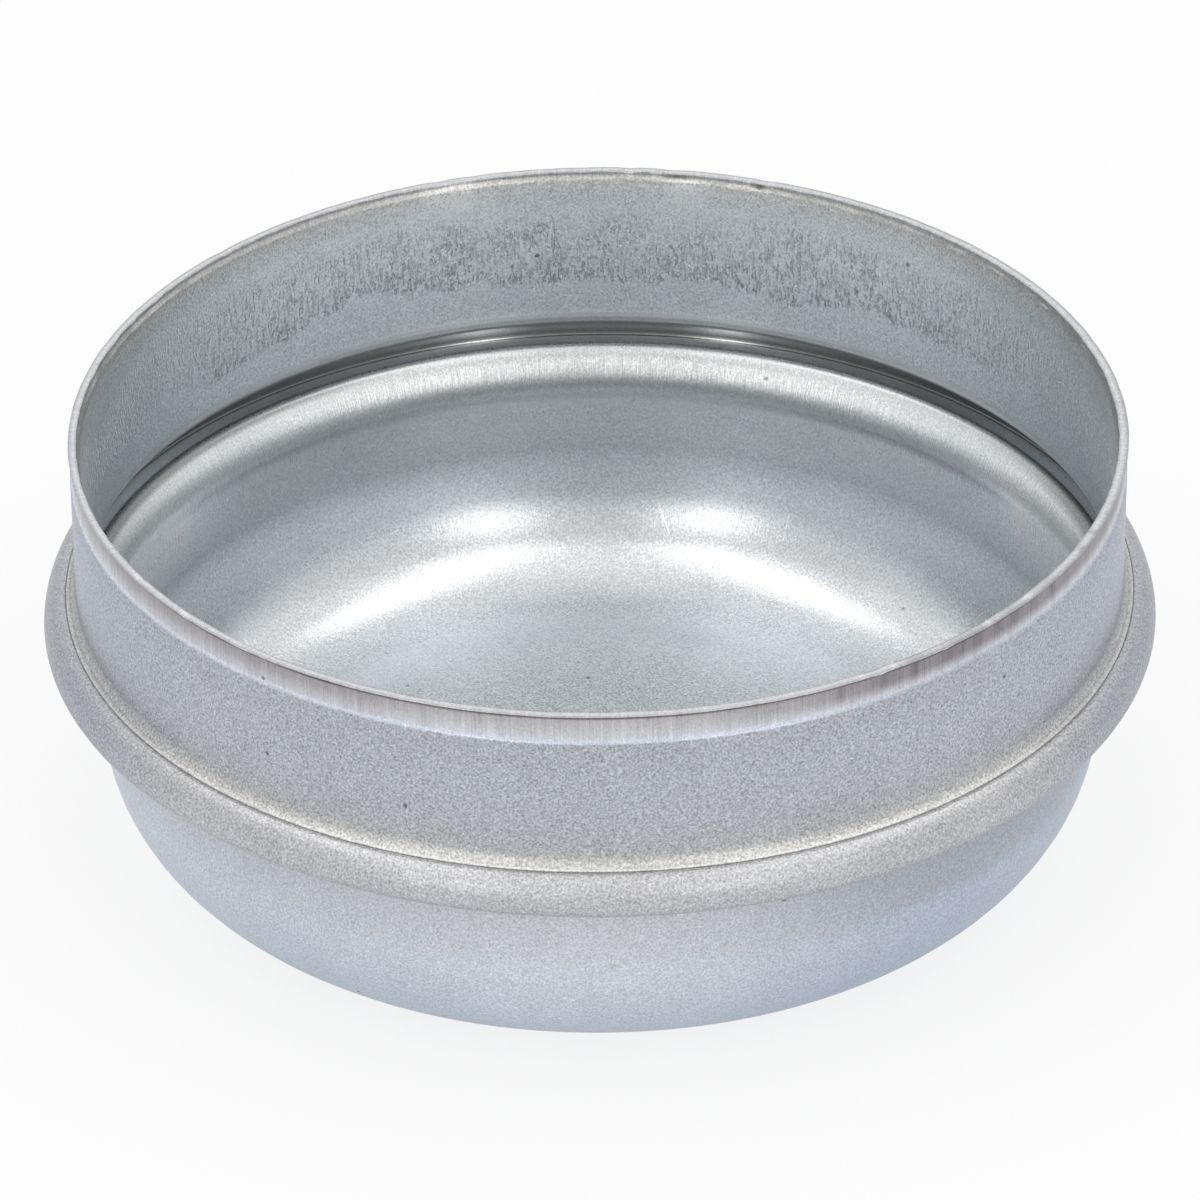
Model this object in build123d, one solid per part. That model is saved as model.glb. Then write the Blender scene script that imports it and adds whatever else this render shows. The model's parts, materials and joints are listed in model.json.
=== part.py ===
from build123d import *
from math import asin, atan2, cos, degrees, hypot, radians, sin, sqrt, tan
import os

# Hub grease cap, pressed from one round blank of zinc-plated sheet steel.
# Millimetres, +Z up along the axis of the cap, mouth upwards as it lies on a bench.
# The origin is the centre of the flat closed end, on the outside of the sheet.
# The section is drawn at r (across) and z (up) and revolved once about Z.

# Overall form
cap_height = 32.6           # closed end to rim
sheet = 0.8                 # thickness of the drawn sheet
wall_radius = 38.0          # outside of the press-in wall, for a 76 mm hub bore

# Rim, as the trimming die leaves it
lip_height = 0.3            # short land at full radius, just under the rim
lip_edge = 0.08             # broken edges of the rim
flare_height = 1.0          # depth of the rolled-over inside of the rim
flare = 0.12                # how far that inside opens out
band_depth = 0.22           # ironed band below the lip, measured in from the wall
band_step = 0.15            # height of the step from the lip in to the band
band_taper = 0.08           # how much the band widens towards its foot
band_foot = 2.4             # rim to the foot of the band
ledge_height = 0.4          # height of the sloped ledge at that foot

# Stop bead, a fold of the wall that is open to the inside
bead_reach = 2.0            # how far the bead stands out from the wall
bead_height = 17.75         # height of its outermost line above the closed end
bead_round = 2.4            # outside radius of the bead's rounded top
heel_inside = 0.1           # inside radius of the tight fold under the bead
neck_fillet = 0.8           # outside fillet between the wall and the bead
crease_width = 0.22         # scored line where that fillet runs into the bead
crease_depth = 0.1

# Shoulder inside the cap, where the lower leg of the bead turns down into the dome
crest_rise = 0.3            # top of the shoulder above the bead's outermost line
crest_inside = 0.1          # bend radius at the crest, on the hollow side of the sheet
shoulder_round = 4.6        # bend radius below the crest, on the outside of the cap
shoulder_angle = 43.0       # slope in degrees at which one bend runs into the other

# Dome and closed end
dome_inset = 1.85           # how far the top of the dome is set in from the wall
dome_draft = 2.9            # lean of the dome wall in degrees, wider towards the mouth
corner_inside = 10.15       # inside radius between the dome wall and the flat end


def polar(centre, radius, angle):
    """Point at a radius and an angle in degrees from a centre."""
    a = radians(angle)
    return (centre[0] + radius * cos(a), centre[1] + radius * sin(a))


def bend(centre, radius, start, end):
    """Arc about a centre from one angle to another, in degrees, either way round."""
    return CenterArc(centre, radius, start, end - start)


def joined(edges):
    """The edges in order, with a straight run wherever one ends short of the next."""
    chain = [edges[0]]
    for edge in edges[1:]:
        if ((edge @ 0) - (chain[-1] @ 1)).length > 1e-6:
            chain.append(Line(chain[-1] @ 1, edge @ 0))
        chain.append(edge)
    return chain


# Each bend is a pair of arcs about one centre, one on each side of the sheet.
bead_radius = wall_radius + bead_reach
bead_centre = (bead_radius - bead_round, bead_height)
heel_centre = (bead_radius - heel_inside - sheet, bead_height)

# The neck fillet touches the bead's round from outside, so their centres lie one sum of radii apart.
neck_across = wall_radius + neck_fillet - bead_centre[0]
neck_up = sqrt((neck_fillet + bead_round) ** 2 - neck_across ** 2)
neck_centre = (bead_centre[0] + neck_across, bead_centre[1] + neck_up)
neck_angle = degrees(atan2(neck_up, neck_across))

# The shoulder bends hang from the crest, and the dome wall touches the lower one at its own lean.
lean = radians(dome_draft)
crest_round = crest_inside + sheet
crest_offset = shoulder_round + sheet - crest_round
crest_z = bead_height + crest_rise - crest_round
shoulder_z = crest_z - crest_offset * sin(radians(shoulder_angle))
dome_radius = wall_radius - dome_inset
shoulder_centre = (dome_radius + shoulder_round * cos(lean), shoulder_z)
crest_centre = polar(shoulder_centre, crest_offset, 180 - shoulder_angle)

# The dome wall runs down to the corner, whose arc ends on the flat closed end.
corner_outside = corner_inside + sheet
dome_drop = shoulder_z + shoulder_round * sin(lean) - corner_outside * (1 - sin(lean))
corner_centre = (dome_radius - dome_drop * tan(lean) - corner_outside * cos(lean), corner_outside)

# The lower leg of the bead is the line that touches the heel from below and the crest from above.
leg_across = heel_centre[0] - crest_centre[0]
leg_up = heel_centre[1] - crest_centre[1]
leg_turn = asin((crest_round + heel_inside) / hypot(leg_across, leg_up))
leg_slope = degrees(leg_turn - atan2(leg_up, leg_across))


def fold_and_dome(inner):
    """Bends from the neck down to the closed end, on the inner or the outer side of the sheet."""
    grow = sheet if inner else 0
    shrink = 0 if inner else sheet
    score = 0 if inner else crease_width / 2
    neck_end = 180 + neck_angle - degrees(score / neck_fillet)
    bead_start = neck_angle - degrees(score / bead_round)
    neck = bend(neck_centre, neck_fillet + grow, 180, neck_end)
    bead = bend(bead_centre, bead_round - grow, bead_start, 0)
    heel = bend(heel_centre, heel_inside + shrink, 0, -90 - leg_slope)
    crest = bend(crest_centre, crest_inside + grow, 90 - leg_slope, 180 - shoulder_angle)
    shoulder = bend(shoulder_centre, shoulder_round + grow, 180 - shoulder_angle, 180 - dome_draft)
    corner = bend(corner_centre, corner_inside + shrink, -dome_draft, -90)
    closed_end = Line(corner @ 1, (0, (corner @ 1).Y))
    if inner:
        return [neck, bead, heel, crest, shoulder, corner, closed_end]
    notch = polar(bead_centre, bead_round - crease_depth, neck_angle)
    return [neck, Line(neck @ 1, notch), bead, heel, crest, shoulder, corner, closed_end]


def rim_outside():
    """Broken edge, lip, ironed band and ledge, down to the top of the plain wall."""
    band_r = wall_radius - band_depth
    lip_foot = cap_height - lip_height
    wall_top = cap_height - band_foot
    edge = Line((wall_radius - lip_edge, cap_height), (wall_radius, cap_height - lip_edge))
    step = Line((wall_radius, lip_foot), (band_r, lip_foot - band_step))
    ledge = Line((band_r + band_taper, wall_top + ledge_height), (wall_radius, wall_top))
    return [edge, step, ledge]


def rim_inside():
    """Broken edge and rolled-over inside of the rim, down to the top of the plain bore."""
    bore = wall_radius - sheet
    edge = Line((bore + flare + lip_edge, cap_height), (bore + flare, cap_height - lip_edge))
    return [edge, Line(edge @ 1, (bore, cap_height - flare_height))]


outside = joined(rim_outside() + fold_and_dome(inner=False))
inside = joined(rim_inside() + fold_and_dome(inner=True))
rim = Line(outside[0] @ 0, inside[0] @ 0)
axis_run = Line(outside[-1] @ 1, inside[-1] @ 1)

section = make_face([*outside, axis_run, *inside, rim])
grease_cap = revolve(Plane.XZ * section, Axis.Z)

os.makedirs("parts", exist_ok=True)
export_step(grease_cap, "parts/grease_cap.step")
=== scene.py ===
import bpy
import json
import numpy as np
from mathutils import Matrix, Vector


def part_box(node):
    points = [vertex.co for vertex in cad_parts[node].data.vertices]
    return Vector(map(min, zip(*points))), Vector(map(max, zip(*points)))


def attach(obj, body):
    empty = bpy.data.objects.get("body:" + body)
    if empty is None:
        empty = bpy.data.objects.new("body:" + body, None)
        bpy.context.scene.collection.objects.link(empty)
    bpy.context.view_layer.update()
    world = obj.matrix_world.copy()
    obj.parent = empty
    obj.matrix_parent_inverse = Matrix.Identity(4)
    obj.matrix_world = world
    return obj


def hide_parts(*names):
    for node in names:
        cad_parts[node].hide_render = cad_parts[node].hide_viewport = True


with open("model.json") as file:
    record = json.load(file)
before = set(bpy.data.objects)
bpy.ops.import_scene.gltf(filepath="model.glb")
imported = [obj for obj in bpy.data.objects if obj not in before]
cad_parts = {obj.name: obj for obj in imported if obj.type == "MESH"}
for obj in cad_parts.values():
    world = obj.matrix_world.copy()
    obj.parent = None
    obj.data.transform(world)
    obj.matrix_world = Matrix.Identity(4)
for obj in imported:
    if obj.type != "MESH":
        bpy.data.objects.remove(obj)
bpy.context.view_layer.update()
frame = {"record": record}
_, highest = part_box("grease_cap")
pressWall = next(m for m in frame["record"]["mounts"] if m["name"] == "press_wall")
mm = 0.001
print("frame loaded", [round(v / mm, 2) for v in highest])

# Section of the cap in metres, as r across and z up. Reach and heights come from the frame.
capForm = dict(
    capHeight=highest.z, beadRadius=min(highest.x, highest.y), lipRadius=pressWall["dims"]["r_mm"] * mm,
    sheet=0.8 * mm, wallTop=37.88 * mm, wallLow=37.66 * mm,
    lipHeight=0.06 * mm, lipEdge=0.04 * mm, bandStep=0.06 * mm, underLip=0.36 * mm,
    bandRadius=37.76 * mm, bandFoot=2.42 * mm, ledgeHeight=0.24 * mm, ledgeStep=0.11 * mm,
    rollHeight=1.5 * mm, rollTilt=20.0, mouthLand=0.34 * mm,
    beadHeight=17.75 * mm, beadRound=2.4 * mm, heelInside=0.1 * mm, neckFillet=1.15 * mm,
    creaseWidth=0.18 * mm, creaseDepth=0.07 * mm,
    crestRise=0.3 * mm, crestInside=0.1 * mm, shoulderRound=4.6 * mm, shoulderAngle=43.0,
    domeRadius=36.15 * mm, domeDraft=2.9, cornerInside=10.15 * mm,
    turns=540,                             # facets around the axis
)
# Traces of the trimming die: how uneven the edges are, how far the mouth lies off, and nicks of the rim as
# turn and half width in degrees and depth in mm
trimWear = dict(
    rimDrop=0.008 * mm, lipDent=0.008 * mm, mouthWave=0.05 * mm, burr=0.02 * mm,
    mouthLeft=0.06 * mm, mouthBack=0.08 * mm, ledgeWave=0.02 * mm, creaseWave=0.01 * mm, seed=7,
    nicks=[(107.6, 0.7, 0.07), (103.5, 1.1, 0.04), (86.2, 0.6, 0.08), (81.5, 1.0, 0.05),
           (71.0, 0.6, 0.08), (136.0, 0.7, 0.06), (210.5, 0.6, 0.09), (219.5, 0.5, 0.06),
           (232.0, 1.4, 0.05), (301.0, 0.5, 0.07), (310.0, 0.5, 0.06), (20.0, 0.8, 0.05),
           (165.0, 0.9, 0.04)],
)


def polar(centre, radius, angle):
    # point = centre + radius at an angle in degrees; angle may be an array
    a = np.radians(angle)
    return np.stack([centre[0] + radius * np.cos(a), centre[1] + radius * np.sin(a)], -1)


def arcRun(centre, radius, start, end, count):
    # count points of an arc about a centre, evenly spaced in angle
    return polar(centre, radius, np.linspace(start, end, count))


def lineRun(a, b, count):
    # count points on the straight run from a to b
    return np.asarray(a) + (np.asarray(b) - np.asarray(a)) * np.linspace(0, 1, count)[:, None]


def sectionRuns(f):
    # one run of points per feature, from the middle of the outside to the middle of the inside;
    # each bend is a pair of arcs about one centre, and straight runs touch the arcs they join
    sheet = f["sheet"]
    beadC = np.array([f["beadRadius"] - f["beadRound"], f["beadHeight"]])
    heelC = np.array([f["beadRadius"] - f["heelInside"] - sheet, f["beadHeight"]])
    across = f["wallLow"] + f["neckFillet"] - beadC[0]
    up = np.sqrt((f["neckFillet"] + f["beadRound"]) ** 2 - across ** 2)
    neckC = beadC + [across, up]
    neckAngle = np.degrees(np.arctan2(up, across))
    lean = np.radians(f["domeDraft"])
    crestRound = f["crestInside"] + sheet
    crestOffset = f["shoulderRound"] + sheet - crestRound
    crestZ = f["beadHeight"] + f["crestRise"] - crestRound
    shoulderZ = crestZ - crestOffset * np.sin(np.radians(f["shoulderAngle"]))
    shoulderC = np.array([f["domeRadius"] + f["shoulderRound"] * np.cos(lean), shoulderZ])
    crestC = polar(shoulderC, crestOffset, 180 - f["shoulderAngle"])
    cornerOut = f["cornerInside"] + sheet
    drop = shoulderZ + f["shoulderRound"] * np.sin(lean) - cornerOut * (1 - np.sin(lean))
    cornerC = np.array([f["domeRadius"] - drop * np.tan(lean) - cornerOut * np.cos(lean), cornerOut])
    legTo = heelC - crestC
    # the leg touches the heel and the crest on opposite sides
    legTurn = np.arcsin((crestRound + f["heelInside"]) / np.hypot(*legTo))
    legSlope = np.degrees(legTurn - np.arctan2(legTo[1], legTo[0]))
    legStart, legEnd = -90 - legSlope, 90 - legSlope
    legFoot, legHead = polar(heelC, f["heelInside"], legStart), polar(crestC, crestRound, legEnd)
    foldEnd, domeEnd = 180 - f["shoulderAngle"], 180 - f["domeDraft"]

    halfNeck = np.degrees(f["creaseWidth"] / 2 / f["neckFillet"])
    halfBead = np.degrees(f["creaseWidth"] / 2 / f["beadRound"])
    top, edge, lip = f["capHeight"], f["lipEdge"], f["lipRadius"]
    lipFoot = top - f["lipHeight"]
    bandTop = (f["bandRadius"], lipFoot - f["bandStep"])
    bandHead = (f["bandRadius"], lipFoot - f["underLip"])
    bandFoot = (f["wallTop"] - f["ledgeStep"], top - f["bandFoot"] + f["ledgeHeight"])
    wallFoot = (f["wallTop"], top - f["bandFoot"])
    boreTop = (f["wallTop"] - sheet, top - f["mouthLand"] - f["rollHeight"])
    rollRound = f["rollHeight"] / np.sin(np.radians(f["rollTilt"]))
    rollC = (boreTop[0] + rollRound, boreTop[1])
    roll = arcRun(rollC, rollRound, 180 - f["rollTilt"], 180, 9)
    mouth = roll[0, 0]
    neck = arcRun(neckC, f["neckFillet"], 180 + neckAngle - halfNeck, 180, 10)
    dome = arcRun(cornerC, cornerOut, -90, -f["domeDraft"], 16)
    shoulder = arcRun(shoulderC, f["shoulderRound"], domeEnd, foldEnd, 6)

    return [
        ("closedEndOut", lineRun((0.0, 0.0), dome[0], 3)[1:]),
        ("cornerOut", dome[1:]),
        ("domeOut", lineRun(dome[-1], shoulder[0], 5)[1:]),
        ("shoulderOut", shoulder[1:]),
        ("crestOut", arcRun(crestC, f["crestInside"], foldEnd, legEnd, 3)),
        ("heelOut", arcRun(heelC, f["heelInside"] + sheet, legStart, 0, 10)),
        ("beadOut", arcRun(beadC, f["beadRound"], 0, neckAngle - halfBead, 13)[1:]),
        ("crease", polar(beadC, f["beadRound"] - f["creaseDepth"], neckAngle)[None]),
        ("neckFoot", neck[:2]),
        ("neckLine", neck[2:3]),
        ("neckOut", neck[3:]),
        ("wallOut", lineRun((f["wallLow"], neckC[1]), wallFoot, 9)[1:]),
        ("ledgeOut", lineRun(wallFoot, bandFoot, 3)[1:]),
        ("bandOut", lineRun(bandFoot, bandHead, 8)[1:]),
        ("underLip", lineRun(bandHead, bandTop, 4)[1:]),
        ("lipOut", lineRun((lip, lipFoot), (lip, top - edge), 2)),
        ("rim", lineRun((lip - edge, top), (mouth + edge, top), 4)),
        ("mouthIn", lineRun((mouth, top - edge), roll[0], 3)),
        ("rollIn", roll[1:]),
        ("wallIn", lineRun(boreTop, (f["wallLow"] - sheet, neckC[1]), 11)[1:]),
        ("neckIn", arcRun(neckC, f["neckFillet"] + sheet, 180, 180 + neckAngle, 10)[1:]),
        ("beadIn", arcRun(beadC, f["beadRound"] - sheet, neckAngle, 0, 8)[1:]),
        ("heelIn", arcRun(heelC, f["heelInside"], 0, legStart, 4)[1:]),
        ("legIn", lineRun(legFoot, legHead, 4)[1:]),
        ("crestIn", arcRun(crestC, crestRound, legEnd, foldEnd, 9)[1:]),
        ("shoulderIn", arcRun(shoulderC, f["shoulderRound"] + sheet, foldEnd, domeEnd, 13)[1:]),
        ("cornerIn", arcRun(cornerC, f["cornerInside"], -f["domeDraft"], -90, 19)),
        ("closedEndIn", lineRun((cornerC[0], sheet), (0.0, sheet), 4)[1:-1]),
    ]


def ripple(t, low, high, seed):
    # unevenness around the turn: cosines of low to high waves with seeded phases, with a spread of 1
    waves = np.arange(low, high)[:, None]
    phase = np.random.default_rng(seed).uniform(0, 2 * np.pi, waves.shape)
    return np.cos(waves * t + phase).sum(0) * np.sqrt(2 / len(waves))


def wornRim(r, z, zone, t, w):
    # rim rows sink by a ripple and by bell-shaped nicks, and the lip sinks inwards; the mouth is set off to
    # the left and the back, and its edges, the ledge and the crease wander
    rimRows = np.isin(zone, ["lipOut", "rim", "mouthIn"])
    mouthRows = np.flatnonzero(zone == "mouthIn")
    sink = w["rimDrop"] * np.clip(1 + ripple(t, 3, 90, w["seed"]), 0, None)
    for turn, half, depth in w["nicks"]:
        away = (np.degrees(t) - turn + 180) % 360 - 180
        sink = sink + depth * mm * np.exp(-(away / half) ** 2)
    z[rimRows] -= sink
    r[zone == "lipOut"] -= w["lipDent"] * np.clip(1 + ripple(t, 5, 120, w["seed"] + 1), 0, None)
    off = w["mouthLeft"] * -np.cos(t) + w["mouthBack"] * np.sin(t)
    r[mouthRows] += off
    r[np.flatnonzero(zone == "rim")[1:]] += off * np.array([[1], [2], [3]]) / 3
    r[mouthRows[0]] += w["burr"] * ripple(t, 20, 150, w["seed"] + 4)
    z[mouthRows[-1]] += w["mouthWave"] * ripple(t, 8, 130, w["seed"] + 5)
    z[zone == "ledgeOut"] += w["ledgeWave"] * ripple(t, 2, 14, w["seed"] + 2)
    z[zone == "crease"] += w["creaseWave"] * ripple(t, 2, 40, w["seed"] + 3)


def capSurface(name, f, w):
    # x = r(s) cos t, y = r(s) sin t, z = z(s): the section s carried once around the axis through t
    runs = sectionRuns(f)
    section = np.concatenate([points for _, points in runs])
    zone = np.concatenate([[label] * len(points) for label, points in runs])
    t = np.linspace(0, 2 * np.pi, f["turns"], endpoint=False)
    r = np.repeat(section[:, :1], len(t), 1)
    z = np.repeat(section[:, 1:], len(t), 1)
    wornRim(r, z, zone, t, w)
    grid = np.stack([r * np.cos(t), r * np.sin(t), z], -1)

    rows, cols = grid.shape[:2]
    index = np.arange(rows * cols).reshape(rows, cols)
    nextCol = np.roll(index, -1, 1)
    quads = np.stack([index[:-1], nextCol[:-1], nextCol[1:], index[1:]], -1).reshape(-1, 4)
    poles = np.array([[0, 0, 0], [0, 0, f["sheet"]]])
    foot, head = rows * cols, rows * cols + 1
    lowFan = np.stack([nextCol[0], index[0], np.full(cols, foot)], -1)
    topFan = np.stack([index[-1], nextCol[-1], np.full(cols, head)], -1)

    mesh = bpy.data.meshes.new(name)
    faces = [*quads.tolist(), *lowFan.tolist(), *topFan.tolist()]
    mesh.from_pydata(np.concatenate([grid.reshape(-1, 3), poles]), [], faces)
    mesh.polygons.foreach_set("use_smooth", np.ones(len(mesh.polygons), bool))
    piece = bpy.data.objects.new(name, mesh)
    bpy.context.scene.collection.objects.link(piece)
    print(name, "rows", rows, "triangles", 2 * len(quads) + 2 * cols)
    return piece, zone, t


def look(*tints, satin=0.35, grainy=1.0, relief=1.0, comb=0.0, streak=0.0, gall=0.0, belt=0.0,
         left=0.0, right=0.0, span=(0.0, 1.0), hue=(1.0, 1.0, 1.0)):
    # tints (the plating's colour with painted light and shade), satin (roughness) and the shares of painted
    # shade by which the left and the right flank are darker, or lighter with painted light where negative,
    # are spread along the zone's run; span is where across the flanks the painted shade sets in, and hue
    # weighs its colours; the rest are strengths of marks
    return dict(tints=np.array(tints), satin=satin, grainy=grainy, relief=relief, comb=comb, streak=streak,
                gall=gall, belt=belt, left=left, right=right, span=span, hue=hue)


# Colour weights of the painted shade on darker flanks, and looks that several zones share
coolFlankShade = (1.12, 1.03, 0.82)
mauveFlankShade = (0.97, 1.04, 0.99)
domeStainAndFlankShade = dict(belt=1.0, left=0.06, right=0.19, span=(0.05, 0.75), hue=(1.2, 1.0, 0.7))
beadSatinAndFlankShade = dict(satin=0.38, grainy=0.9, left=0.21, right=0.22, span=(0.7, 0.97), hue=coolFlankShade)
neckMarksAndFlankShade = dict(comb=0.4, streak=0.6, left=0.2, right=0.18, span=(0.72, 0.93), hue=coolFlankShade)
# Look of each zone of the plating, in the order of the section's runs; besides the plating's colour, the
# tints hold painted light and shade: brighter rows where highlights lie, darker rows in the hollows
zoneLook = dict(
    closedEndOut=look((0.535, 0.583, 0.652), (0.53, 0.58, 0.652), grainy=0.6, relief=0.6, **domeStainAndFlankShade),
    cornerOut=look((0.53, 0.58, 0.652), (0.515, 0.58, 0.668), (0.56, 0.625, 0.72), (0.635, 0.68, 0.755),
                   (0.66, 0.70, 0.765), grainy=0.6, relief=0.6, streak=0.25, **domeStainAndFlankShade),
    domeOut=look((0.65, 0.675, 0.725), (0.60, 0.62, 0.655), grainy=0.6, relief=0.7, comb=0.3, streak=0.5,
                 **domeStainAndFlankShade),
    shoulderOut=look((0.575, 0.59, 0.61), (0.54, 0.55, 0.56), grainy=0.7, relief=0.8, comb=0.3, streak=0.4,
                     **domeStainAndFlankShade),
    # crestOut and heelOut's dark start: painted shade in the fold under the bead; beadOut's bright top:
    # painted light
    crestOut=look((0.34, 0.33, 0.32), satin=0.45),
    heelOut=look((0.33, 0.335, 0.35), (0.47, 0.48, 0.505), (0.515, 0.525, 0.55), **beadSatinAndFlankShade),
    beadOut=look((0.515, 0.525, 0.55), (0.52, 0.525, 0.545), (0.555, 0.555, 0.565), (0.69, 0.685, 0.68),
                 **beadSatinAndFlankShade),
    # crease: painted shade in the crease; neckFoot, bright above it: painted highlight
    crease=look((0.19, 0.18, 0.165), satin=0.5, grainy=0.6),
    neckFoot=look((0.77, 0.76, 0.74), (0.69, 0.685, 0.665), satin=0.38, grainy=0.8, **neckMarksAndFlankShade),
    neckLine=look((0.635, 0.63, 0.61), satin=0.42, comb=0.4, streak=0.6,
                  left=0.4, right=0.34, span=(0.72, 0.9)),
    neckOut=look((0.60, 0.595, 0.575), (0.52, 0.52, 0.515), (0.48, 0.485, 0.49), (0.48, 0.49, 0.515),
                 satin=0.38, **neckMarksAndFlankShade),
    wallOut=look((0.48, 0.49, 0.522), (0.485, 0.502, 0.555), (0.48, 0.497, 0.55), (0.455, 0.47, 0.518),
                 satin=0.42, streak=0.15, left=0.06, right=0.06, span=(0.7, 1.0), hue=(1.3, 1.0, 0.3)),
    # ledgeOut: painted highlight at the band's foot; bandOut, darker towards the lip: painted shade
    ledgeOut=look((0.62, 0.665, 0.75), (0.70, 0.735, 0.815), satin=0.3, grainy=0.5, streak=0.9,
                  left=0.04, right=0.2, span=(0.3, 0.7)),
    bandOut=look((0.645, 0.66, 0.71), (0.60, 0.605, 0.64), (0.56, 0.56, 0.585), (0.525, 0.52, 0.54),
                 (0.47, 0.46, 0.47), satin=0.34, grainy=0.3, relief=0.3, comb=0.6,
                 streak=[1.8, 2.0, 2.2, 2.4], left=[0.1, 0.16, 0.26, 0.28],
                 right=[0.08, 0.3, 0.47, 0.45, 0.4], span=(0.1, 0.62), hue=mauveFlankShade),
    underLip=look((0.22, 0.20, 0.20), (0.13, 0.12, 0.12), satin=0.45, grainy=0.5, streak=2.0),
    lipOut=look((0.36, 0.355, 0.36), (0.50, 0.50, 0.51), grainy=0.4, relief=0.3, streak=2.5),
    rim=look((0.54, 0.55, 0.575), (0.74, 0.75, 0.78), (0.79, 0.80, 0.825), (0.58, 0.585, 0.60),
             grainy=0.4, relief=0.3, streak=1.1, left=[0.1, 0.04, 0.0, 0.0], right=[0.15, 0.08, 0.0, 0.0],
             span=(0.2, 0.5)),
    mouthIn=look((0.52, 0.52, 0.52), (0.54, 0.535, 0.53), satin=0.45, grainy=0.6, relief=0.5, streak=2.2),
    # rollIn's bright rows and wallIn, lighter at the top than at its foot: painted light
    rollIn=look((0.55, 0.545, 0.53), (0.80, 0.805, 0.795), (0.77, 0.805, 0.815),
                satin=0.36, grainy=0.8, streak=0.6),
    wallIn=look((0.82, 0.86, 0.87), (0.77, 0.81, 0.825), (0.675, 0.72, 0.735), (0.60, 0.64, 0.655),
                satin=0.33, grainy=0.7, comb=0.3, streak=0.3, gall=1.0,
                left=-0.04, right=-0.02, span=(0.2, 0.7)),
    # neckIn to legIn, the groove inside the bead: its dark rows are painted shade, its bright rows and
    # lighter flanks painted light
    neckIn=look((0.42, 0.445, 0.455), (0.55, 0.57, 0.58), (0.76, 0.78, 0.79),
                satin=0.3, grainy=0.4, relief=0.2,
                left=[-0.4, -0.9, -0.1], right=[-0.4, -0.9, 0.0], span=(0.3, 0.8)),
    beadIn=look((0.90, 0.925, 0.94), (0.85, 0.865, 0.87), (0.40, 0.41, 0.41),
                satin=0.32, grainy=0.3, relief=0.1,
                left=[0.2, 0.4, 0.2], right=[0.25, 0.5, 0.3], span=(0.3, 0.8)),
    heelIn=look((0.25, 0.25, 0.245), satin=0.12, grainy=0.3, relief=0.1,
                left=0.2, right=0.2, span=(0.3, 0.6)),
    legIn=look((0.45, 0.47, 0.49), (0.51, 0.535, 0.56), satin=0.3, grainy=0.4, relief=0.1,
               left=-0.8, right=-0.7, span=(0.6, 0.95)),
    # crestIn to closedEndIn: bright rows are painted highlights on the inner shoulder and corner; dark rows
    # between them and darker flanks are painted shade, lighter flanks painted light
    crestIn=look((0.60, 0.61, 0.625), (0.63, 0.64, 0.645), (0.61, 0.62, 0.625),
                 satin=0.28, grainy=0.4, relief=0.15, comb=0.5,
                 left=[0.25, 0.48, 0.38], right=[0.12, 0.1, -0.15], span=(0.3, 0.68)),
    shoulderIn=look((0.625, 0.635, 0.64), (0.60, 0.61, 0.615), (0.535, 0.545, 0.555), (0.495, 0.51, 0.52),
                    (0.49, 0.51, 0.52), (0.645, 0.675, 0.69), satin=0.24, grainy=0.4, relief=0.1, comb=1.1,
                    left=[-0.24, -0.42, -0.54, -0.26, 0.28, 0.2], right=[-0.22, -0.4, -0.64, -0.32, 0.3, 0.0],
                    span=(0.15, 0.62)),
    cornerIn=look((0.55, 0.58, 0.60), (0.71, 0.74, 0.76), (0.67, 0.70, 0.72), (0.60, 0.625, 0.65),
                  (0.58, 0.605, 0.63), (0.60, 0.62, 0.64), (0.77, 0.79, 0.81), (0.75, 0.77, 0.79),
                  (0.71, 0.73, 0.75), (0.68, 0.70, 0.72), (0.77, 0.79, 0.81), (0.81, 0.83, 0.845),
                  (0.80, 0.82, 0.835), satin=[0.42, 0.36, 0.25, 0.2, 0.23, 0.28, 0.31],
                  grainy=0.6, relief=0.35, comb=0.25,
                  left=[0.02, -0.06, -0.28, -0.34, -0.15, -0.04, 0.0, 0.0, 0.0, -0.07, -0.05, 0.01, 0.07],
                  right=[-0.06, -0.06, -0.26, -0.32, -0.15, -0.04, 0.0, 0.0, 0.0, -0.07, -0.05, 0.01, 0.07],
                  span=(0.08, 0.3)),
    closedEndIn=look((0.745, 0.765, 0.775), satin=0.31, grainy=1.0, relief=0.6,
                     left=[0.12, 0.0], right=[0.12, 0.0], span=(0.08, 0.5)),
)
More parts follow.
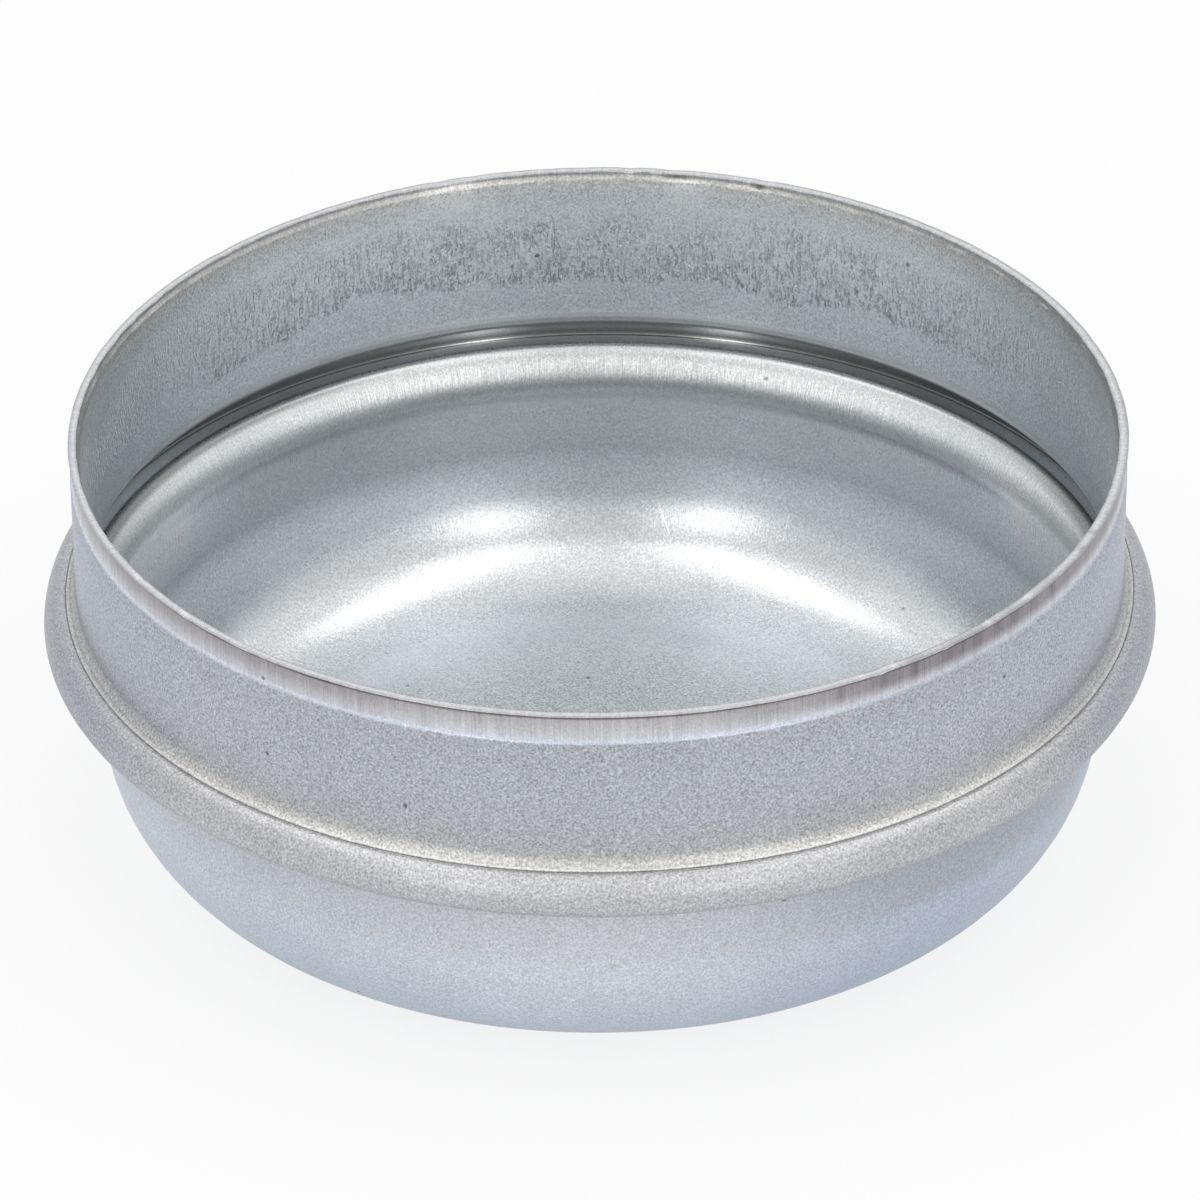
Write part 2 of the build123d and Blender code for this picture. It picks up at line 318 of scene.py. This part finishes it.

# Single places that are brighter or darker: zone, turn and half width in degrees, gain along the zone's run.
# The brighter heelIn, mouthIn, rollIn, rim and lipOut touches are painted highlights: glints in the groove
# and at burrs and nicks. The shoulderIn, crestIn and cornerIn touches are painted light and shade on the
# flanks. The darker mouthIn, rim, bandOut and underLip touches are dark spots on those rows.
paintedLightShadeAndMarks = [
    ("heelIn", 102.2, 3.2, 2.2), ("heelIn", 76.1, 3.0, 2.2),
    ("mouthIn", 106.5, 3.2, 0.6), ("rollIn", 106.5, 3.5, 0.2), ("mouthIn", 86.2, 0.5, 0.5),
    ("mouthIn", 83.0, 0.4, 0.5), ("mouthIn", 71.5, 0.35, -0.8), ("mouthIn", 81.0, 1.6, -0.4),
    ("rollIn", 80.0, 2.2, 0.25), ("rim", 209.4, 0.6, 0.25), ("rim", 219.0, 0.5, 0.25),
    ("lipOut", 228.5, 1.4, 0.7), ("underLip", 224.0, 2.5, -0.5), ("underLip", 238.0, 3.0, -0.5),
    ("rim", 299.1, 0.4, 0.2), ("lipOut", 301.5, 0.5, 0.8), ("lipOut", 309.4, 0.8, 0.8),
    ("rim", 335.0, 0.4, -0.35), ("rim", 338.5, 0.3, -0.3), ("underLip", 312.0, 6.0, -0.4),
    ("bandOut", 302.0, 0.7, [0, -0.2, -0.3, -0.3]), ("bandOut", 306.0, 0.4, [0, -0.2, -0.35, -0.3]),
    ("bandOut", 310.5, 0.5, [0, -0.2, -0.35, -0.35]), ("bandOut", 315.0, 0.4, [0, -0.2, -0.35, -0.3]),
    ("bandOut", 321.0, 0.6, [0, -0.1, -0.3, -0.3]), ("bandOut", 296.5, 0.4, [0, -0.2, -0.3, -0.3]),
    ("bandOut", 289.0, 0.4, [0, -0.1, -0.2, -0.25]),
    ("shoulderIn", 168.0, 18.0, [0.0, 0.25, 0.0, 1.0, 4.0, 2.6]), ("crestIn", 168.0, 18.0, -0.2),
    ("cornerIn", 180.0, 45.0, [0, -0.1, -0.35, -0.4, -0.15, 0, 0, 0, 0, 0, 0, 0, 0]),
    ("cornerIn", 0.0, 45.0, [0, -0.1, -0.38, -0.43, -0.15, 0, 0, 0, 0, 0, 0, 0, 0]),
    ("shoulderIn", 18.0, 14.0, [-0.2, 0.75, 0.4, 1.4, 3.6, 1.0]), ("crestIn", 18.0, 16.0, -0.5),
    ("rim", 313.0, 4.5, -0.2), ("rim", 306.0, 1.2, -0.2), ("rim", 320.5, 1.6, -0.18),
    ("rim", 327.0, 2.6, -0.14), ("rim", 316.6, 0.35, 0.35), ("rim", 303.4, 0.3, 0.3),
    ("rim", 323.6, 0.3, 0.3),
    ("bandOut", 312.8, 0.35, [0, -0.1, -0.3, -0.35]), ("bandOut", 318.2, 0.45, [0, -0.15, -0.3, -0.35]),
    ("bandOut", 324.2, 0.4, [0, -0.1, -0.25, -0.3]), ("bandOut", 328.0, 0.6, [0, -0.1, -0.2, -0.25]),
]
brightestTint = 0.95


def alongRun(stops, count):
    # the stops at even places along count rows, with straight changes between them; one stop holds throughout
    stops = np.asarray(stops, float).reshape(np.size(stops, 0) if np.ndim(stops) else 1, -1)
    place = np.linspace(0, len(stops) - 1, count)
    return np.stack([np.interp(place, np.arange(len(stops)), part) for part in stops.T], -1)


def zoneTintAndShading(l, count, t):
    # tints along the run, times 1 less each flank's share of painted shade (painted light where negative) by
    # its hue and by a smooth step of the place across, cos t, over the span
    dark = 0
    for share, across in ((l["left"], -np.cos(t)), (l["right"], np.cos(t))):
        s = np.clip((across - l["span"][0]) / (l["span"][1] - l["span"][0]), 0, 1)
        dark = dark + alongRun(share, count) * s * s * (3 - 2 * s)
    return alongRun(l["tints"], count)[:, None] * (1 - dark[:, :, None] * l["hue"])


def keepLook(piece, zone, t, looks, lightShadeAndMarks):
    # tints per row and turn, with their painted light and shade, times 1 plus the gain of each spot along the
    # run by a bell of the turn, and the other values per row, kept as point attributes
    counts = {n: int((zone == n).sum()) for n in dict.fromkeys(zone)}
    tintAndShading = np.concatenate([zoneTintAndShading(looks[n], counts[n], t) for n in counts])
    for name, turn, half, gain in lightShadeAndMarks:
        away = (np.degrees(t) - turn + 180) % 360 - 180
        gains = alongRun(gain, counts[name])[:, :, None]
        tintAndShading[zone == name] *= 1 + gains * np.exp(-(away / half) ** 2)[:, None]
    full = np.concatenate([np.clip(tintAndShading, 0, brightestTint), np.ones((*tintAndShading.shape[:2], 1))], -1)
    full = np.concatenate([full.reshape(-1, 4), full[0, :1], full[-1, :1]])
    piece.data.attributes.new("tintAndShading", "FLOAT_COLOR", "POINT").data.foreach_set("color", full.ravel())
    for key in ("satin", "grainy", "relief", "comb", "streak", "gall", "belt"):
        rows = np.concatenate([alongRun(looks[n][key], counts[n])[:, 0] for n in counts])
        full = np.concatenate([np.repeat(rows, len(t)), rows[:1], rows[-1:]])
        piece.data.attributes.new(key, "FLOAT", "POINT").data.foreach_set("value", full)


cap, capZone, capTurn = capSurface("drawn_cap", capForm, trimWear)
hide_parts("grease_cap")
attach(cap, "root")
keepLook(cap, capZone, capTurn, zoneLook, paintedLightShadeAndMarks)


class Wire:
    # one socket of a shader tree; operators add Math nodes, node() adds any other node
    def __init__(self, tree, socket):
        self.tree, self.socket = tree, socket

    def node(self, kind, settings=None, sockets=None, out=0):
        made = self.tree.nodes.new(kind)
        for key, value in (settings or {}).items():
            setattr(made, key, value)
        for key, value in (sockets or {}).items():
            if isinstance(value, Wire):
                self.tree.links.new(value.socket, made.inputs[key])
            else:
                made.inputs[key].default_value = value
        return Wire(self.tree, made.outputs[out])

    def math(self, operation, a, b=0.0):
        return self.node("ShaderNodeMath", {"operation": operation}, {0: a, 1: b})

    def __add__(self, other):
        return self.math("ADD", self, other)

    def __radd__(self, other):
        return self.math("ADD", other, self)

    def __sub__(self, other):
        return self.math("SUBTRACT", self, other)

    def __rsub__(self, other):
        return self.math("SUBTRACT", other, self)

    def __mul__(self, other):
        return self.math("MULTIPLY", self, other)

    def __rmul__(self, other):
        return self.math("MULTIPLY", other, self)

    def __truediv__(self, other):
        return self.math("DIVIDE", self, other)

    def __rtruediv__(self, other):
        return self.math("DIVIDE", other, self)


# Sizes in metres, widths across the turn in radians, tones as shares of the tint; a pair is the range over
# which a noise or a height sets in
plate = dict(
    grainSize=0.00017, grainDepth=0.00003, grainTone=1.95, grainSatin=0.08, patchSize=0.004, patchTone=0.14,
    lineWidth=0.0040, wideRatio=0.22, lineShare=0.6, wideShare=0.4, lineTone=0.55, combWidth=0.0026,
    gallLow=0.0236, gallHigh=0.0288, gallWave=0.0030, gallTone=0.2, gallSatin=0.12, gallDepth=0.00008,
    gallFoot=(-0.0002, 0.0006), gallFade=0.0015, gallThick=0.002,
    waveStretch=26.0, waveCount=5.0, clusterCount=16.0, clusterSpan=(0.42, 0.6),
    strokeStretch=9.0, strokeCount=150.0, strokeSpan=(0.48, 0.64),
    beltFoot=0.0104, beltRagged=0.0030, beltTone=0.22, beltEdge=(-0.0012, 0.0008), beltRight=(0.2, 0.7),
    beltLeast=0.3, beltColour=(0.40, 0.32, 0.22, 1),
    speckSpacing=0.0033, speckSize=0.075, speckTone=0.6, speckShare=(0.55, 0.6), softEdge=0.4,
    scratches=[((4.4, 33.8, 6.3), (5.2, 32.4, 4.4), 0.05, 0.9),        # ends and half width in mm, brightness
               ((14.0, 31.4, 6.9), (13.5, 30.4, 5.1), 0.06, 1.0),
               ((9.5, 32.6, 6.2), (8.6, 31.2, 4.1), 0.035, 0.25)],
)


def zincPlate(p):
    # bare metal in the zones' tints, with their painted light and shade, and roughness, times the marks of
    # drawing, wear and handling
    mat = bpy.data.materials.new("zincPlate")
    mat.use_nodes = True
    tree = mat.node_tree
    shader = tree.nodes["Principled BSDF"]
    shader.inputs["Metallic"].default_value = 1.0
    w = Wire(tree, None)

    def noise(vector, scale, detail=2.0, rough=0.5):
        return w.node("ShaderNodeTexNoise", {"noise_dimensions": "3D"},
                      {"Vector": vector, "Scale": scale, "Detail": detail, "Roughness": rough})

    def attribute(key, out="Fac"):
        return w.node("ShaderNodeAttribute", {"attribute_name": key}, out=out)

    def smooth(value, low, high):
        return w.node("ShaderNodeMapRange", {"interpolation_type": "SMOOTHSTEP"},
                      {"Value": value, "From Min": low, "From Max": high, "To Min": 0.0, "To Max": 1.0})

    def vector(operation, a, b=(0, 0, 0), scale=1.0, out=0):
        return w.node("ShaderNodeVectorMath", {"operation": operation}, {0: a, 1: b, 3: scale}, out)

    place = w.node("ShaderNodeTexCoord", out="Object")
    parts = w.node("ShaderNodeSeparateXYZ", sockets={0: place}).socket.node.outputs
    x, y, z = (Wire(tree, part) for part in parts)
    radius = w.math("SQRT", x * x + y * y + 1e-9)
    right, ahead = x / radius, y / radius

    def around(stretch):
        # turn and height: marks on it are as tall as wide at a stretch of 26, and taller below that
        return w.node("ShaderNodeCombineXYZ", sockets={0: right, 1: ahead, 2: z * stretch})

    drawn = around(1.0)
    grain = noise(place, 1 / p["grainSize"], 2.0, 0.6)
    patch = noise(place, 1 / p["patchSize"], 3.0, 0.6)
    lines = noise(drawn, 1 / p["lineWidth"], 2.0, 0.7)
    wide = noise(drawn, p["wideRatio"] / p["lineWidth"], 3.0, 0.6)
    mixed = lines * p["lineShare"] + wide * p["wideShare"]

    # galling: short upright strokes in loose clusters within a wavy band of the bore, thickest along its foot
    level, stroke = around(p["waveStretch"]), around(p["strokeStretch"])
    low, high = p["gallLow"], p["gallHigh"]
    height = z + (noise(level, p["waveCount"], 3.0, 0.6) - 0.5) * (2 * p["gallWave"])
    foot = smooth(height, low + p["gallFoot"][0], low + p["gallFoot"][1])
    band = foot * smooth(height, high + p["gallFade"], high - p["gallFade"])
    cluster = 0.5 + 0.5 * smooth(noise(level, p["clusterCount"], 3.0, 0.6), *p["clusterSpan"])
    cluster = cluster + 0.4 * smooth(height, low + p["gallThick"], low)
    strokes = smooth(noise(stroke, p["strokeCount"], 2.5, 0.65), *p["strokeSpan"])
    gall = attribute("gall") * band * cluster * strokes

    # a ragged drawn belt under the bead, stronger to the right
    ragged = z + (mixed - 0.5) * (2 * p["beltRagged"])
    belt = smooth(ragged, p["beltFoot"] + p["beltEdge"][0], p["beltFoot"] + p["beltEdge"][1])
    belt = attribute("belt") * belt * (p["beltLeast"] + (1 - p["beltLeast"]) * smooth(right, *p["beltRight"]))
    belt = belt * p["beltTone"] * (patch + 0.5)

    # dark specks at the middle of some cells
    cells = w.node("ShaderNodeTexVoronoi", {"feature": "F1"},
                   {"Vector": place, "Scale": 1 / p["speckSpacing"]}).socket.node.outputs
    draw = w.node("ShaderNodeSeparateXYZ", sockets={0: Wire(tree, cells["Color"])})
    dot = smooth(Wire(tree, cells["Distance"]), p["speckSize"], p["softEdge"] * p["speckSize"])
    speck = smooth(draw, *p["speckShare"]) * dot * p["speckTone"]

    # scratches: distance from the straight run between two ends
    bright = 0.0
    for start, end, half, strength in p["scratches"]:
        run = (Vector(end) - Vector(start)) * mm
        away = vector("SUBTRACT", place, tuple(Vector(start) * mm))
        share = vector("DOT_PRODUCT", away, tuple(run / run.length_squared), out="Value")
        inside = w.node("ShaderNodeClamp", sockets={"Value": share})
        nearest = vector("SCALE", tuple(run), scale=inside)
        gap = vector("LENGTH", vector("SUBTRACT", away, nearest), out="Value")
        bright = bright + smooth(gap, half * mm, p["softEdge"] * half * mm) * strength

    streak = attribute("streak") * (mixed - 0.5) * p["lineTone"]
    tone = 1.0 + (grain - 0.5) * attribute("grainy") * p["grainTone"] + (patch - 0.5) * p["patchTone"]
    tone = (tone + streak - gall * p["gallTone"] + bright) * (1.0 - speck)
    tintAndShading = vector("SCALE", attribute("tintAndShading", "Color"), scale=tone)
    tintAndShading = w.node("ShaderNodeMix", {"data_type": "RGBA", "blend_type": "MULTIPLY"},
                  {"Factor": belt, "A": tintAndShading, "B": p["beltColour"]}, out="Result")
    rough = attribute("satin") + (grain - 0.5) * p["grainSatin"] + gall * p["gallSatin"]
    combed = noise(drawn, 1 / p["combWidth"], 2.0, 0.6)
    relief = grain * attribute("relief") + combed * attribute("comb")
    relief = relief - gall * (p["gallDepth"] / p["grainDepth"])
    bump = w.node("ShaderNodeBump", sockets={"Height": relief, "Distance": p["grainDepth"], "Strength": 1.0})
    tree.links.new(tintAndShading.socket, shader.inputs["Base Color"])
    tree.links.new(rough.socket, shader.inputs["Roughness"])
    tree.links.new(bump.socket, shader.inputs["Normal"])
    return mat


cap.data.materials.append(zincPlate(plate))
print("zinc plate ready")

# Camera fitted to the rim, bead and dome of the photograph; lengths in wall radii
shot = dict(elevation=31.661, distance=40.0, aimX=0.0005, aimBelowRim=0.3625, roll=-0.4936,
            pixelsPerRadius=528.21, imagePixels=1200, sensor=36.0, clip=(0.01, 50.0))


def addCamera(s, f):
    # right, up and back axes from the elevation, then turned by the roll about the line of sight
    e, roll = np.radians(s["elevation"]), np.radians(s["roll"])
    forward = np.array([0, np.cos(e), -np.sin(e)])
    level, upright = np.array([1.0, 0, 0]), np.array([0, np.sin(e), np.cos(e)])
    right = np.cos(roll) * level + np.sin(roll) * upright
    up = np.cos(roll) * upright - np.sin(roll) * level
    aim = np.array([s["aimX"] * f["lipRadius"], 0, f["capHeight"] - s["aimBelowRim"] * f["lipRadius"]])
    eye = aim - s["distance"] * f["lipRadius"] * forward
    lens = bpy.data.cameras.new("camera")
    lens.sensor_width = s["sensor"]
    lens.lens = s["sensor"] * s["pixelsPerRadius"] * s["distance"] / s["imagePixels"]
    lens.clip_start, lens.clip_end = s["clip"]
    camera = bpy.data.objects.new("camera", lens)
    bpy.context.scene.collection.objects.link(camera)
    axes = np.stack([right, up, -forward], 1)
    camera.matrix_world = Matrix([[*row, at] for row, at in zip(axes, eye)] + [[0, 0, 0, 1]])
    bpy.context.scene.camera = camera


addCamera(shot, capForm)

# Floor in metres, and soft boxes, a pair of each that is turned: turn from the camera side and rise in
# degrees, distance, size, brightness over the room
stage = dict(
    floorSize=6.0, floorDrop=0.00002, floorColour=0.9, floorSeen=0.82, floorMirrored=0.5, room=0.87,
    boxes=dict(
        top=dict(turn=0, rise=80, away=1.3, size=(0.45, 0.6), glow=0.12, colour=(1.0, 1.0, 1.0)),
        side=dict(turn=72, rise=64, away=1.2, size=(1.05, 0.28), glow=1.14, colour=(0.98, 0.99, 1.0)),
        front=dict(turn=28, rise=28.5, away=1.2, size=(0.27, 0.60), glow=1.75, colour=(1.0, 0.985, 0.955)),
    ),
)


def addFloor(s):
    # a matt square just under the cap, which camera and mirror rays see nearer to white
    h, low = s["floorSize"] / 2, -s["floorDrop"]
    mesh = bpy.data.meshes.new("floor")
    mesh.from_pydata([(-h, -h, low), (h, -h, low), (h, h, low), (-h, h, low)], [], [(0, 1, 2, 3)])
    floor = bpy.data.objects.new("floor", mesh)
    bpy.context.scene.collection.objects.link(floor)
    mat = bpy.data.materials.new("paleFloor")
    mat.use_nodes = True
    tree = mat.node_tree
    tree.nodes.remove(tree.nodes["Principled BSDF"])
    w = Wire(tree, None)
    rays = w.node("ShaderNodeLightPath").socket.node.outputs
    mirrored = Wire(tree, rays["Is Glossy Ray"]) + Wire(tree, rays["Is Transmission Ray"])
    seen = Wire(tree, rays["Is Camera Ray"]) * s["floorSeen"] + mirrored * s["floorMirrored"]
    c = s["floorColour"]
    matt = w.node("ShaderNodeBsdfDiffuse", sockets={"Color": (c, c, c, 1)})
    glow = w.node("ShaderNodeEmission", sockets={"Color": (1, 1, 1, 1), "Strength": 1.0})
    both = w.node("ShaderNodeMixShader", sockets={0: seen, 1: matt, 2: glow})
    tree.links.new(both.socket, tree.nodes["Material Output"].inputs["Surface"])
    mesh.materials.append(mat)


def addPanel(name, at, box):
    # a soft box of even brightness, facing the cap; watts = brightness x pi x area
    lamp = bpy.data.lights.new(name, "AREA")
    lamp.shape, lamp.size, lamp.size_y = "RECTANGLE", *box["size"]
    lamp.energy = box["glow"] * np.pi * box["size"][0] * box["size"][1]
    lamp.color = box["colour"]
    panel = bpy.data.objects.new(name, lamp)
    bpy.context.scene.collection.objects.link(panel)
    panel.location = at
    panel.rotation_euler = (-Vector(at)).to_track_quat("-Z", "Y").to_euler()


def addLight(s):
    # the soft boxes around the cap, and an even room that the camera sees as white
    for name, box in s["boxes"].items():
        hands = (("Left", -1), ("Right", 1)) if box["turn"] else (("", 1),)
        for hand, side in hands:
            turn, rise = np.radians(side * box["turn"]), np.radians(box["rise"])
            way = np.array([np.sin(turn) * np.cos(rise), -np.cos(turn) * np.cos(rise), np.sin(rise)])
            addPanel(name + hand, tuple(box["away"] * way), box)
    world = bpy.data.worlds.new("studio")
    bpy.context.scene.world = world
    world.use_nodes = True
    tree = world.node_tree
    w = Wire(tree, None)
    rays = w.node("ShaderNodeLightPath").socket.node.outputs
    seen = Wire(tree, rays["Is Camera Ray"])
    strength = s["room"] + seen * (1 - s["room"])
    tree.links.new(strength.socket, tree.nodes["Background"].inputs["Strength"])
    tree.nodes["Background"].inputs["Color"].default_value = (1, 1, 1, 1)


addFloor(stage)
addLight(stage)
bpy.context.scene.view_settings.view_transform = "Standard"
print("stage lit")
